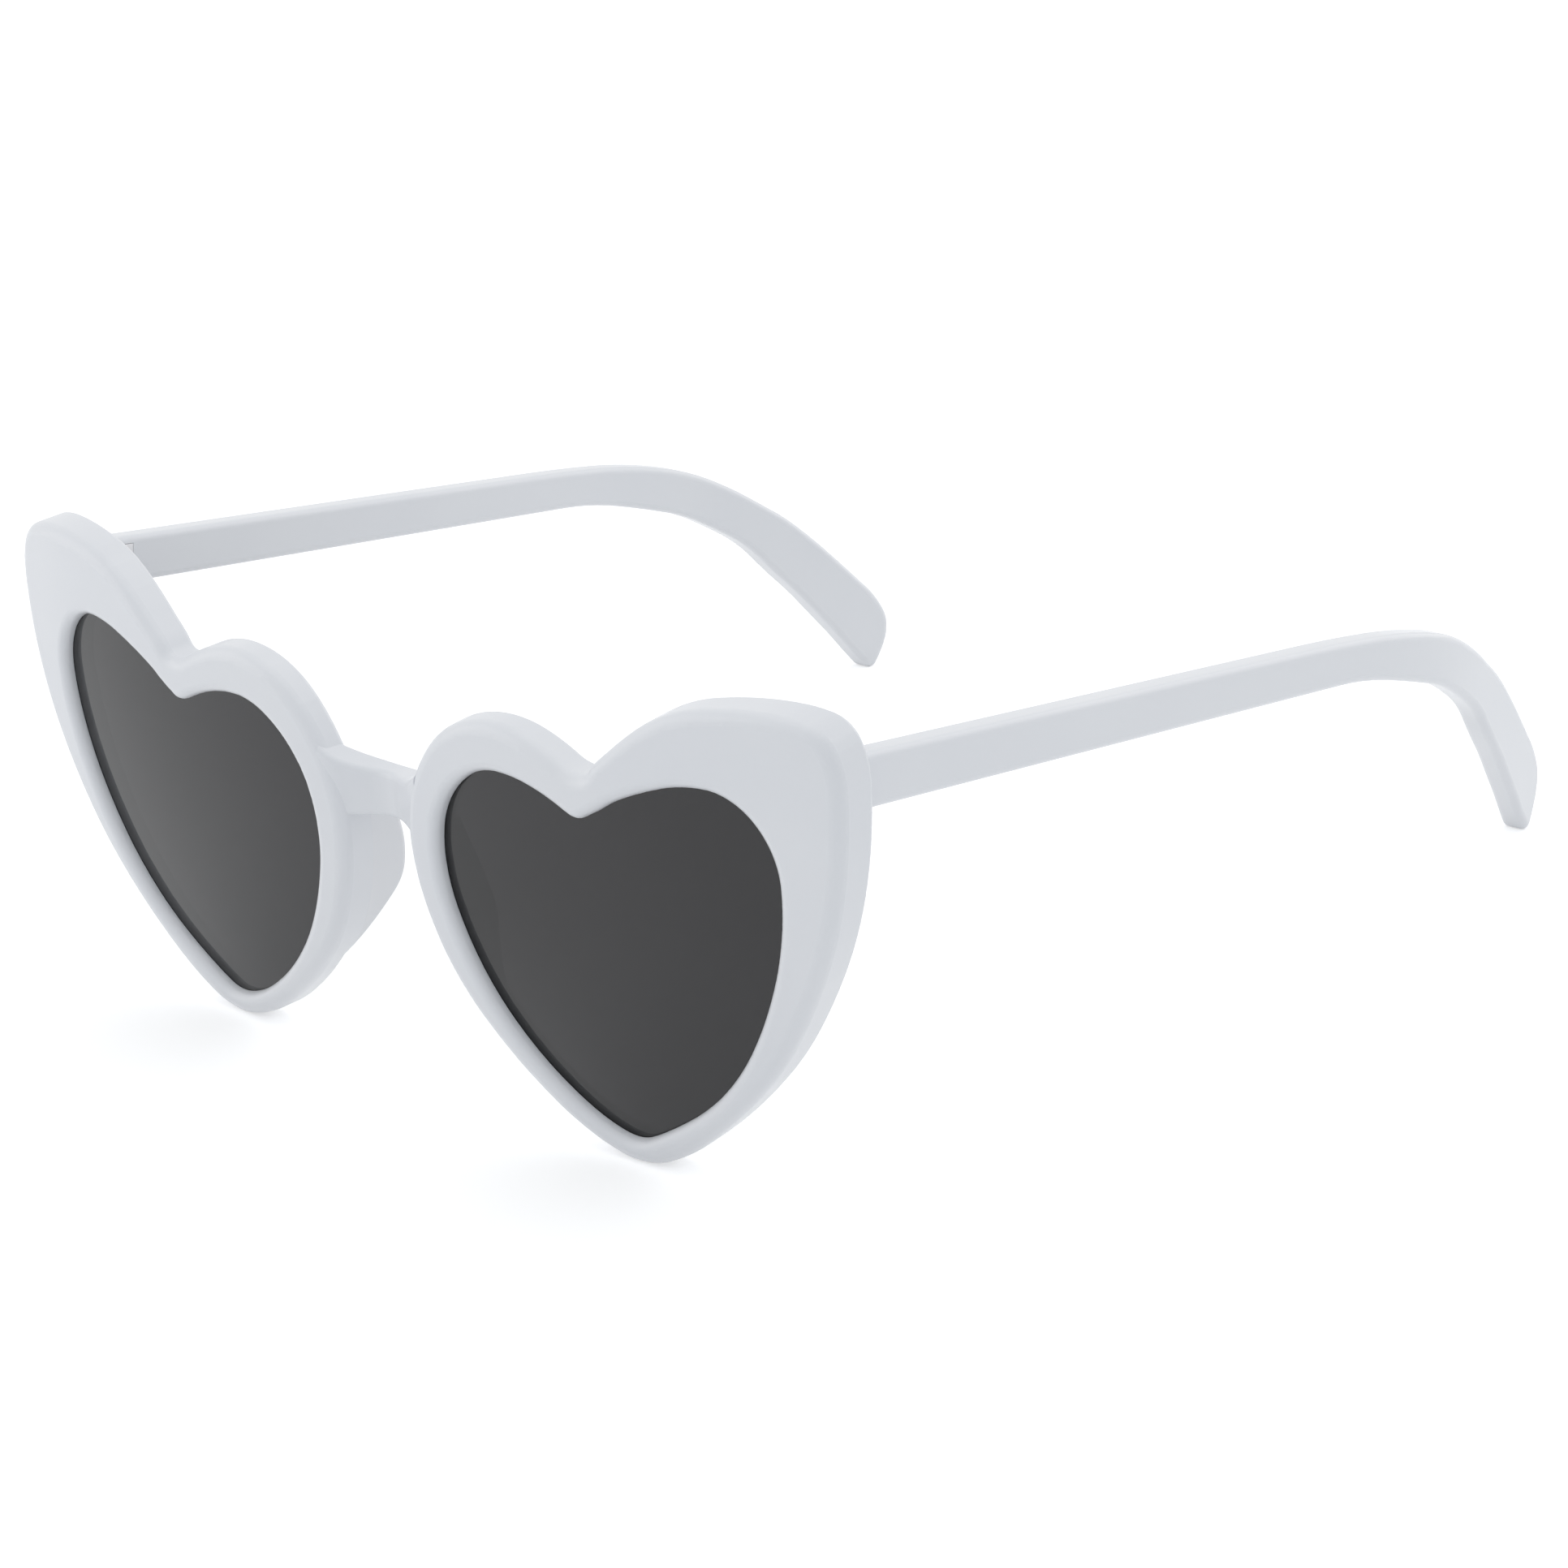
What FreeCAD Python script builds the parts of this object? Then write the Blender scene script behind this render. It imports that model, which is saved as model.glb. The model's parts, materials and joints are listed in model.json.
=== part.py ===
"""Heart shaped sunglasses: a moulded front with two domed rims, lenses, nose pads and hinged temples.

Working frame: X runs across the wearer's face to their left, Y runs back along the temples and
Z is up, square to the temples. At the end every piece is turned about X until the rim tips and
the temple tips stand on the ground, with the origin under the middle of the part.
"""
import FreeCAD, Part
import math
import os

from FreeCAD import Placement, Rotation, Vector

# Driving dimensions in millimetres and degrees
SIZES = {
    # lenses and the openings that show them
    "lens_width": 50.9,
    "lens_height": 46.3,
    "lens_gap": 21.9,
    "lens_thickness": 1.3,
    "lens_recess": 1.6,
    "groove_depth": 0.9,
    "lens_clearance": 0.05,
    # rims round the openings, each with its wing
    "rim_nasal": 5.05,
    "rim_bottom": 2.9,
    "wing_side": 8.7,
    "wing_top": 9.5,
    "rim_thickness": 4.5,
    "dome_radius": 250.0,
    "dome_rise": 3.1,
    "back_shift": 7.7,
    "wrap_angle": 4.0,
    "front_tilt": 11.9,
    "rim_edge_radius": 1.6,
    "opening_edge_radius": 1.2,
    "back_edge_radius": 0.6,
    # bridge between the rims
    "bridge_height": 5.8,
    "bridge_rise": 10.9,
    "bridge_setback": 2.9,
    "bridge_depth": 3.0,
    "bridge_top_flare": 2.6,
    "bridge_under_flare": 0.5,
    "bridge_root": 2.6,
    "bridge_root_depth": 3.3,
    "bridge_edge_radius": 0.7,
    # nose pads behind the rims
    "pad_thickness": 2.4,
    "pad_seat": 0.6,
    "pad_top": 8.6,
    "pad_bottom": 14.5,
    "pad_reach": 6.2,
    "pad_edge_radius": 0.8,
    # temples and the lugs that carry them
    "temple_inset": 1.75,
    "temple_thickness": 3.6,
    "temple_height": 6.2,
    "temple_neck": 5.3,
    "temple_length": 138.0,
    "temple_drop": 31.4,
    "temple_bend_start": 88.4,
    "temple_bend_radius": 100.0,
    "temple_bend_angle": 14.0,
    "temple_edge_radius": 0.9,
    "hinge_drop": 8.0,
    "lug_length": 4.6,
    "lug_root": 2.0,
    "lug_thickness": 2.3,
    "butt_gap": 0.15,
    "mouth_clearance": 0.15,
    # hinges and their screws
    "leaf_length": 2.5,
    "leaf_height": 4.3,
    "leaf_thickness": 1.0,
    "recess_clearance": 0.05,
    "barrel_radius": 1.3,
    "barrel_clearance": 0.3,
    "knuckle_gap": 0.15,
    "pivot_radius": 0.6,
    "pivot_head_radius": 0.95,
    "pivot_head_height": 0.5,
    "pivot_fit": 0.05,
    "fixing_radius": 0.5,
    "fixing_head_radius": 0.8,
    "fixing_head_height": 0.45,
    "fixing_length": 2.0,
    "fixing_spacing": 2.1,
    "screw_clearance": 0.03,
    "slot_width": 0.25,
    "slot_depth": 0.2,
    # working lengths: shapes that are crossed or cut away, and the search for the lowest points
    "prism_reach": 40.0,
    "overrun": 1.0,
    "rest_fineness": 0.02,
}

# Outline of a lens opening: place as shares of its width and height, and heading in degrees.
# It runs from the tip up the temple side, over both lobes and down the nose side.
LENS_SHARES = (
    (0.480, 0.000, 0),
    (0.563, 0.034, 30),
    (0.775, 0.208, 46),
    (0.951, 0.522, 69),
    (1.000, 0.795, 90),
    (0.822, 1.000, 180),
    (0.590, 0.932, 204),
    (0.500, 0.876, 207),
    (0.464, 0.860, 180),
    (0.428, 0.872, 154),
    (0.236, 0.924, 180),
    (0.048, 0.810, 234),
    (0.000, 0.631, 270),
    (0.055, 0.395, 295),
    (0.273, 0.105, 323),
    (0.405, 0.019, 338),
)

# Outer outline of a rim with its wing, as shares of the rim's width and height
RIM_SHARES = (
    (0.455, 0.000, 0),
    (0.535, 0.020, 26),
    (0.705, 0.158, 43),
    (0.861, 0.360, 58),
    (0.972, 0.631, 75),
    (1.000, 0.870, 90),
    (0.935, 0.990, 166),
    (0.848, 1.000, 180),
    (0.709, 0.985, 191),
    (0.583, 0.925, 214),
    (0.496, 0.851, 219),
    (0.452, 0.814, 180),
    (0.410, 0.827, 150),
    (0.260, 0.876, 180),
    (0.086, 0.797, 226),
    (0.000, 0.572, 270),
    (0.045, 0.357, 295),
    (0.209, 0.138, 320),
    (0.386, 0.017, 340),
)

# Back edge of a nose pad from the top: shares of its depth behind the rim and of its height
PAD_SHARES = (
    (0.74, 1.00, -72),
    (1.00, 0.56, -91),
    (0.52, 0.25, -121),
    (0.00, 0.00, -127),
)

# Side outline of a temple past its straight start: shares of its length and of its drop
TEMPLE_TOP_SHARES = (
    (0.717, -0.048, -10),
    (0.825, 0.129, -29),
    (0.881, 0.275, -36),
    (0.954, 0.534, -41),
    (0.984, 0.655, -49),
    (1.000, 0.783, -82),
    (0.988, 0.980, -120),
    (0.980, 1.000, -180),
)
TEMPLE_UNDER_SHARES = (
    (0.974, 0.990, 136),
    (0.929, 0.788, 136),
    (0.873, 0.555, 140),
    (0.803, 0.307, 152),
    (0.721, 0.160, 167),
)
TEMPLE_CREST_SHARE = 0.54
TEMPLE_NECK_SHARE = 0.58

# Top of the bridge seen from the front: shares of its half width and of its flare
BRIDGE_TOP_SHARES = (
    (-1.00, 1.00, -40),
    (0.00, 0.00, 0),
    (1.00, 1.00, 40),
)

# Front of the bridge seen from above: shares of its half width and of its setback
BRIDGE_SHARES = (
    (-1.00, 0.00, 5),
    (-0.50, 0.55, 25),
    (0.00, 1.00, 0),
    (0.50, 0.55, -25),
    (1.00, 0.00, -5),
)


def write_sheet(doc):
    """The spreadsheet of driving dimensions, one named cell each."""
    sheet = doc.addObject("Spreadsheet::Sheet", "sizes")
    for row, (name, value) in enumerate(SIZES.items(), start=1):
        sheet.set(f"A{row}", name)
        sheet.set(f"B{row}", str(value))
        sheet.setAlias(f"B{row}", name)
    doc.recompute()
    return sheet


# Outlines made of tangent arcs

def pose(x, y, degrees):
    """A point of an outline with the heading of the outline there."""
    return Vector(x, y, 0), math.radians(degrees)


def ahead(heading):
    """The unit vector along a heading."""
    return Vector(math.cos(heading), math.sin(heading), 0)


def arc_to(start, end_point):
    """The arc that leaves a pose along its heading and ends at a point: its start, middle and end poses."""
    point, heading = start
    chord = end_point - point
    turn = 2 * math.remainder(math.atan2(chord.y, chord.x) - heading, 2 * math.pi)
    half_chord = chord.Length / (2 * math.cos(turn / 4))
    middle = point + ahead(heading + turn / 4) * half_chord
    return (start, (middle, heading + turn / 2), (end_point, heading + turn))


def two_arcs(start, end):
    """The pair of tangent arcs between two poses."""
    first = ahead(start[1])
    last = ahead(end[1])
    span = end[0] - start[0]
    along = span.dot(first + last)
    bend = 2 * (1 - first.dot(last))
    if bend < 1e-9:
        reach = span.dot(span) / (4 * span.dot(last))
    else:
        reach = (math.sqrt(along * along + bend * span.dot(span)) - along) / bend
    join = (start[0] + end[0] + (first - last) * reach) * 0.5
    here = arc_to(start, join)
    return [here, arc_to(here[2], end[0])]


def arc_chain(poses, closed=False):
    """Tangent arcs through a list of poses."""
    following = poses[1:] + poses[:1] if closed else poses[1:]
    arcs = []
    for start, end in zip(poses, following):
        arcs += two_arcs(start, end)
    return arcs


def moved_out(arcs, margin):
    """The same arcs moved to the right of their heading by a margin."""
    return [
        tuple((point + ahead(heading - math.pi / 2) * margin, heading) for point, heading in arc)
        for arc in arcs
    ]


def draw_arcs(sketch, arcs):
    """Add arcs to a sketch, as lines where they don't turn."""
    for arc in arcs:
        points = [point for point, heading in arc]
        if abs(arc[2][1] - arc[0][1]) < 1e-6:
            sketch.addGeometry(Part.LineSegment(points[0], points[2]), False)
        else:
            sketch.addGeometry(Part.ArcOfCircle(*points), False)


def draw_lines(sketch, points):
    """Add the lines from point to point to a sketch."""
    for start, end in zip(points, points[1:]):
        sketch.addGeometry(Part.LineSegment(start, end), False)


class Outline:
    """Heart outlines, drawn about the centre of the lens opening."""

    def __init__(self, size):
        left = -size.lens_width / 2
        bottom = -size.lens_height / 2
        self.lens = self.heart(LENS_SHARES, left, bottom, size.lens_width, size.lens_height)
        rim_width = size.rim_nasal + size.lens_width + size.wing_side
        rim_height = size.rim_bottom + size.lens_height + size.wing_top
        self.rim = self.heart(
            RIM_SHARES, left - size.rim_nasal, bottom - size.rim_bottom, rim_width, rim_height
        )

    @staticmethod
    def heart(shares, left, bottom, width, height):
        """The closed chain of arcs that a table of shares gives in a box."""
        poses = [pose(left + across * width, bottom + up * height, turn) for across, up, turn in shares]
        return arc_chain(poses, closed=True)


class Builder:
    """Short ways to make the document's objects, with sizes bound to the spreadsheet."""

    def __init__(self, doc, size):
        self.doc = doc
        self.size = size

    def bound(self, kind, name, **sizes):
        """An object with properties bound to expressions; two underscores stand for a dot."""
        item = self.doc.addObject(kind, name)
        for prop, expression in sizes.items():
            item.setExpression(prop.replace("__", "."), expression)
        return item

    def sketch(self, name, place):
        """An empty sketch at a place."""
        sketch = self.doc.addObject("Sketcher::SketchObject", name)
        sketch.Placement = place
        return sketch

    def prism(self, name, sketch, direction, forward, back):
        """A sketch drawn out both ways along a direction."""
        solid = self.bound("Part::Extrusion", name, LengthFwd=forward, LengthRev=back)
        solid.Base = sketch
        solid.DirMode = "Custom"
        solid.Dir = direction
        solid.Solid = True
        solid.FaceMakerClass = "Part::FaceMakerBullseye"
        return solid

    def box(self, name, place, length, width, height):
        """A block with its low corner at a place."""
        block = self.bound("Part::Box", name, Length=length, Width=width, Height=height)
        block.Placement = place
        return block

    def rod(self, name, place, radius, length):
        """A cylinder that starts at a place."""
        cylinder = self.bound("Part::Cylinder", name, Radius=radius, Height=length)
        cylinder.Placement = place
        return cylinder

    def both(self, kind, name, base, tool):
        """A cut or a common of two objects."""
        result = self.doc.addObject(kind, name)
        result.Base = base
        result.Tool = tool
        return result

    def union(self, name, shapes):
        """Several objects fused into one."""
        result = self.doc.addObject("Part::MultiFuse", name)
        result.Shapes = shapes
        return result

    def mirrored(self, source, label):
        """The same object on the other side of the face."""
        copy = self.doc.addObject("Part::Mirroring", label)
        copy.Source = source
        copy.Normal = Vector(1, 0, 0)
        copy.Label = label
        return copy

    def rounded(self, name, base, choices):
        """Round edges of a finished solid: each choice is a list of edges and a radius."""
        self.doc.recompute()
        result = self.doc.addObject("Part::Fillet", name)
        result.Base = base
        numbered = []
        for edges, radius in choices:
            for number, edge in enumerate(base.Shape.Edges, start=1):
                if any(edge.isSame(chosen) for chosen in edges):
                    numbered.append((number, radius, radius))
        result.Edges = numbered
        return result


UPRIGHT = Placement(Vector(), Rotation(Vector(1, 0, 0), 90))
SIDEWAYS = Placement(Vector(), Rotation(Vector(1, 1, 1), 120))
ACROSS = Rotation(Vector(0, 1, 0), 90)
BACKWARD = Vector(0, 1, 0)
OUTWARD = Vector(1, 0, 0)
INWARD = Vector(-1, 0, 0)
UPWARD = Vector(0, 0, 1)


def at(x, y, z, turn=Rotation()):
    """A place with a turn."""
    return Placement(Vector(x, y, z), turn)


def front_tilt(size):
    """From the front's own frame, square to its face, to the working frame."""
    return Placement(Vector(), Rotation(Vector(1, 0, 0), size.front_tilt))


def rim_frame(size):
    """From a rim's own frame, at its lens centre, to the working frame."""
    centre = Vector((size.lens_gap + size.lens_width) / 2, 0, 0)
    wrap = Placement(centre, Rotation(Vector(0, 0, 1), size.wrap_angle))
    return front_tilt(size).multiply(wrap)


class Hinge:
    """Where a temple hangs: the hinge axis, the inner face of the arm and the places of the leaves."""

    def __init__(self, size):
        outer = size.lens_gap / 2 + size.lens_width + size.wing_side - size.temple_inset
        self.inner = outer - size.temple_thickness
        self.x = self.inner + size.leaf_thickness - size.barrel_clearance - size.barrel_radius
        across = (outer + self.inner) / 2 - (size.lens_gap + size.lens_width) / 2
        up = size.lens_height / 2 + size.wing_top - size.hinge_drop
        sag = ((across + size.back_shift) ** 2 + (up - size.dome_rise) ** 2) / (2 * size.dome_radius)
        on_back = rim_frame(size).multVec(Vector(across, sag + size.rim_thickness, up))
        self.y = on_back.y + size.lug_length
        self.z = on_back.z
        self.low = self.z - size.leaf_height / 2
        self.leaf_start = size.barrel_radius + size.barrel_clearance
        self.leaf_end = self.leaf_start + size.leaf_length
        self.fixing_distance = self.leaf_start + size.leaf_length / 2
        self.fixing_heights = (self.z - size.fixing_spacing / 2, self.z + size.fixing_spacing / 2)
        self.knuckle_step = (size.leaf_height + size.knuckle_gap) / 3

    def along(self, way, near, far):
        """The lower end in Y of a stretch from one distance behind or before the axis to another."""
        return self.y + near if way > 0 else self.y - far


# Front: domed rims, bridge, lugs and the seats of the nose pads

def dome_ball(make, name, depth, shift):
    """A ball whose near side is a dome at a depth behind the rim's front, moved to the nose by a shift."""
    ball = make.bound(
        "Part::Sphere",
        name,
        Radius=f"sizes.dome_radius - {depth}",
        Placement__Base__x=f"-{shift}",
        Placement__Base__y="sizes.dome_radius",
        Placement__Base__z="sizes.dome_rise",
    )
    ball.Placement = Placement(Vector(), Rotation(Vector(0, 0, 1), 90))
    return ball


def heart_plate(make, name, outlines, front, back, back_shift="0"):
    """A domed plate with heart outlines, from one depth behind the rim's front to another."""
    sketch = make.sketch(f"{name}_outline", UPRIGHT)
    for arcs in outlines:
        draw_arcs(sketch, arcs)
    prism = make.prism(f"{name}_prism", sketch, BACKWARD, "sizes.prism_reach", "sizes.prism_reach")
    outside = dome_ball(make, f"{name}_outside", front, "0")
    inside = dome_ball(make, f"{name}_inside", back, back_shift)
    layer = make.both("Part::Cut", f"{name}_layer", outside, inside)
    return make.both("Part::Common", name, prism, layer)


def rim(make, outline):
    """One rim with its opening, its edges rounded."""
    size = make.size
    plate = heart_plate(
        make, "rim_plate", (outline.rim, outline.lens), "0", "sizes.rim_thickness", "sizes.back_shift"
    )
    make.doc.recompute()
    domes = [face for face in plate.Shape.Faces if isinstance(face.Surface, Part.Sphere)]
    back, front = sorted(domes, key=lambda face: face.Surface.Radius)
    opening = [wire for wire in front.Wires if not wire.isSame(front.OuterWire)][0]
    choices = (
        (front.OuterWire.Edges, size.rim_edge_radius),
        (opening.Edges, size.opening_edge_radius),
        (back.OuterWire.Edges, size.back_edge_radius),
    )
    rounded = make.rounded("rim_rounded", plate, choices)
    rounded.Placement = rim_frame(size)
    return rounded


def lens_plate(make, name, outline, fits=0):
    """The lens, or with one fit of clearance all round the seat that is cut for it."""
    size = make.size
    play = f"sizes.lens_clearance * {fits}"
    plate = heart_plate(
        make,
        name,
        (moved_out(outline.lens, size.groove_depth + size.lens_clearance * fits),),
        f"(sizes.lens_recess - {play})",
        f"(sizes.lens_recess + sizes.lens_thickness + {play})",
    )
    plate.Placement = rim_frame(size)
    return plate


def bridge(make):
    """The bar between the rims: its front view and its plan crossed, its long edges rounded."""
    size = make.size
    half = size.lens_gap / 2 - size.rim_nasal + size.bridge_root
    top = size.bridge_rise + size.bridge_height / 2
    under = size.bridge_rise - size.bridge_height / 2
    view = make.sketch("bridge_view", UPRIGHT)
    crown = [
        pose(across * half, top + up * size.bridge_top_flare, turn) for across, up, turn in BRIDGE_TOP_SHARES
    ]
    draw_arcs(view, arc_chain(crown))
    right_under = Vector(-half, under - size.bridge_under_flare, 0)
    left_under = Vector(half, under - size.bridge_under_flare, 0)
    view.addGeometry(Part.ArcOfCircle(right_under, Vector(0, under, 0), left_under), False)
    draw_lines(view, [crown[-1][0], left_under])
    draw_lines(view, [crown[0][0], right_under])
    tall = make.prism("bridge_view_prism", view, BACKWARD, "sizes.prism_reach", "sizes.prism_reach")

    plan = make.sketch("bridge_plan", Placement())
    front = [pose(across * half, back * size.bridge_setback, turn) for across, back, turn in BRIDGE_SHARES]
    draw_arcs(plan, arc_chain(front))
    right_back = Vector(-half, size.bridge_root_depth, 0)
    left_back = Vector(half, size.bridge_root_depth, 0)
    middle_back = Vector(0, size.bridge_setback + size.bridge_depth, 0)
    plan.addGeometry(Part.ArcOfCircle(right_back, middle_back, left_back), False)
    draw_lines(plan, [front[0][0], right_back])
    draw_lines(plan, [front[-1][0], left_back])
    deep = make.prism("bridge_plan_prism", plan, UPWARD, "sizes.prism_reach", "0")
    bar = make.both("Part::Common", "bridge_bar", tall, deep)
    make.doc.recompute()
    long_edges = [edge for edge in bar.Shape.Edges if edge.BoundBox.XLength > size.overrun]
    rounded = make.rounded("bridge_rounded", bar, ((long_edges, size.bridge_edge_radius),))
    rounded.Placement = front_tilt(size)
    return rounded


def lug(make, hinge):
    """The tongue behind the wing that goes into the mouth of the temple and carries the hinge."""
    size = make.size
    return make.box(
        "lug",
        at(hinge.inner, hinge.y - size.lug_length - size.lug_root, hinge.low),
        "sizes.lug_thickness",
        "sizes.lug_length + sizes.lug_root - sizes.butt_gap / 2",
        "sizes.leaf_height",
    )


def mouth(make, hinge):
    """The room for the lug and the barrels in the front end of a temple, open to the front and inside."""
    size = make.size
    low = hinge.low - size.mouth_clearance
    tongue_room = make.box(
        "temple_mouth",
        at(hinge.inner - size.overrun, hinge.y - size.lug_length - size.lug_root, low),
        "sizes.lug_thickness + sizes.mouth_clearance + sizes.overrun",
        "sizes.lug_length + sizes.lug_root + sizes.butt_gap / 2",
        MOUTH_HEIGHT,
    )
    barrel_room = make.box(
        "temple_barrel_room",
        at(hinge.inner - size.overrun, hinge.y - size.overrun, low),
        "sizes.leaf_thickness + sizes.overrun",
        "sizes.barrel_radius + sizes.barrel_clearance + sizes.overrun",
        MOUTH_HEIGHT,
    )
    return [tongue_room, barrel_room]


def pad_blank(make, outline):
    """The D shaped wall that stands back from the nose side of a rim, its back edges rounded."""
    size = make.size
    band = make.sketch("pad_band", UPRIGHT)
    draw_arcs(band, outline.rim)
    draw_arcs(band, moved_out(outline.rim, -size.pad_thickness))
    wall = make.prism("pad_wall", band, BACKWARD, "sizes.prism_reach", "0")
    tall = size.pad_top + size.pad_bottom
    deep = size.pad_seat + size.pad_reach
    root = size.rim_thickness
    poses = [pose(root + out * deep, up * tall - size.pad_bottom, turn) for out, up, turn in PAD_SHARES]
    side = make.sketch("pad_side", SIDEWAYS)
    draw_arcs(side, arc_chain(poses))
    top = poses[0][0]
    draw_lines(side, [poses[-1][0], Vector(root, top.y, 0), top])
    profile = make.prism("pad_profile", side, INWARD, "sizes.prism_reach", "0")
    raw = make.both("Part::Common", "pad_raw", wall, profile)
    make.doc.recompute()
    free = [edge for edge in raw.Shape.Edges if is_back_edge(raw.Shape, edge)]
    return make.rounded("pad_blank", raw, ((free, size.pad_edge_radius),))


def is_back_edge(shape, edge):
    """Whether an edge parts a side of the pad's wall from its round back."""
    faces = shape.ancestorsOfType(edge, Part.Face)
    if any(isinstance(face.Surface, Part.Plane) for face in faces):
        return False
    sides = [abs(face.Surface.Axis.dot(BACKWARD)) > abs(face.Surface.Axis.dot(OUTWARD)) for face in faces]
    return any(sides) and not all(sides)


def leaf_recess(make, name, hinge, way):
    """The pocket for a hinge leaf in an inner face, with the pilot holes of its screws."""
    size = make.size
    y = hinge.along(way, -size.overrun, hinge.leaf_end + size.recess_clearance)
    pocket = make.box(
        f"{name}_pocket",
        at(hinge.inner - size.overrun, y, hinge.low - size.recess_clearance),
        "sizes.leaf_thickness + sizes.overrun",
        "sizes.barrel_radius + sizes.barrel_clearance + sizes.leaf_length"
        " + sizes.recess_clearance + sizes.overrun",
        "sizes.leaf_height + 2 * sizes.recess_clearance",
    )
    tools = [pocket]
    for number, height in enumerate(hinge.fixing_heights, start=1):
        place = at(hinge.inner, hinge.y + way * hinge.fixing_distance, height, ACROSS)
        tools.append(make.rod(f"{name}_pilot_{number}", place, FIXING_HOLE, "sizes.fixing_length"))
    return tools


def front_frame(make, outline, hinge, bar, pad):
    """The moulded front: both rims, lugs and pad seats with the bridge, less the seats cut into it."""
    left_rim = rim(make, outline)
    left_lug = lug(make, hinge)
    deep_ball = dome_ball(make, "pad_seat_ball", "(sizes.rim_thickness + sizes.pad_seat)", "sizes.back_shift")
    seat = make.both("Part::Cut", "pad_seat_left", pad, deep_ball)
    seat.Placement = rim_frame(make.size)
    half = make.union("front_half", [left_rim, left_lug, seat])
    blank = make.union("front_blank", [half, make.mirrored(half, "front_other_half"), bar])
    cuts = [lens_plate(make, "lens_seat", outline, fits=1)] + leaf_recess(make, "front_leaf", hinge, way=-1)
    tool = make.union("front_cuts", cuts)
    tools = make.union("front_all_cuts", [tool, make.mirrored(tool, "front_other_cuts")])
    frame = make.both("Part::Cut", "front_frame", blank, tools)
    frame.Refine = True
    return frame


def nose_pad(make, bar, pad):
    """The part of the pad behind its seat, cut to the underside of the bridge."""
    ball = dome_ball(make, "pad_back_ball", "(sizes.rim_thickness + sizes.pad_seat)", "sizes.back_shift")
    seated = make.both("Part::Common", "pad_seated", pad, ball)
    seated.Placement = rim_frame(make.size)
    return make.both("Part::Cut", "nose_pad_left", seated, bar)


# Temples

def temple(make, hinge):
    """A side arm: its side outline and its plan crossed, its edges rounded, its end fitted to the wing."""
    size = make.size
    half = size.temple_height / 2
    length = size.temple_length
    start = -size.lug_length - size.lug_root
    top = [pose(TEMPLE_CREST_SHARE * length, half, 0)]
    top += [pose(along * length, -down * size.temple_drop, turn) for along, down, turn in TEMPLE_TOP_SHARES]
    under = [
        pose(along * length, -down * size.temple_drop, turn) for along, down, turn in TEMPLE_UNDER_SHARES
    ]
    under.append(pose(TEMPLE_NECK_SHARE * length, half - size.temple_neck, 180))
    side = make.sketch("temple_side", at(0, hinge.y, hinge.z).multiply(SIDEWAYS))
    draw_arcs(side, arc_chain(top + under))
    draw_lines(side, [under[-1][0], Vector(start, -half, 0), Vector(start, half, 0), top[0][0]])
    slab = make.prism("temple_side_prism", side, OUTWARD, "sizes.prism_reach + sizes.lens_width", "0")

    begin = pose(hinge.inner + size.temple_thickness / 2, hinge.y + start, 90)
    bend = pose(begin[0].x, hinge.y + size.temple_bend_start, 90)
    turn = math.radians(size.temple_bend_angle)
    chord = 2 * size.temple_bend_radius * math.sin(turn / 2)
    bent = arc_to(bend, bend[0] + ahead(bend[1] + turn / 2) * chord)
    far = arc_to(bent[2], bent[2][0] + ahead(bent[2][1]) * length)
    route = [arc_to(begin, bend[0]), bent, far]
    outer = moved_out(route, size.temple_thickness / 2)
    inner = moved_out(route, -size.temple_thickness / 2)
    plan = make.sketch("temple_plan", Placement())
    draw_arcs(plan, outer)
    draw_arcs(plan, inner)
    draw_lines(plan, [outer[0][0][0], inner[0][0][0]])
    draw_lines(plan, [outer[-1][2][0], inner[-1][2][0]])
    band = make.prism("temple_plan_prism", plan, UPWARD, "sizes.prism_reach", "sizes.prism_reach")
    blank = make.both("Part::Common", "temple_blank", slab, band)
    make.doc.recompute()
    long_edges = [
        edge
        for edge in blank.Shape.Edges
        if edge.BoundBox.YMax > hinge.y + size.overrun and not lies_across(edge)
    ]
    rounded = make.rounded("temple_rounded", blank, ((long_edges, size.temple_edge_radius),))
    behind_wing = make.doc.addObject("Part::Compound", "behind_wing")
    behind_wing.Links = [
        dome_ball(make, "behind_wing_ball", "(sizes.rim_thickness + sizes.butt_gap)", "sizes.back_shift")
    ]
    behind_wing.Placement = rim_frame(size)
    fitted = make.both("Part::Common", "temple_fitted", rounded, behind_wing)
    cuts = make.union("temple_cuts", mouth(make, hinge) + leaf_recess(make, "temple_leaf", hinge, way=1))
    return make.both("Part::Cut", "temple_left", fitted, cuts)


def lies_across(edge):
    """Whether an edge runs from one face of the arm to the other."""
    box = edge.BoundBox
    return box.XLength > max(box.YLength, box.ZLength)


# Hinges and screws

FIXING_HOLE = "sizes.fixing_radius + sizes.screw_clearance"
MOUTH_HEIGHT = "sizes.leaf_height + 2 * sizes.mouth_clearance"
KNUCKLE = "(sizes.leaf_height - 2 * sizes.knuckle_gap) / 3"


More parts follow.
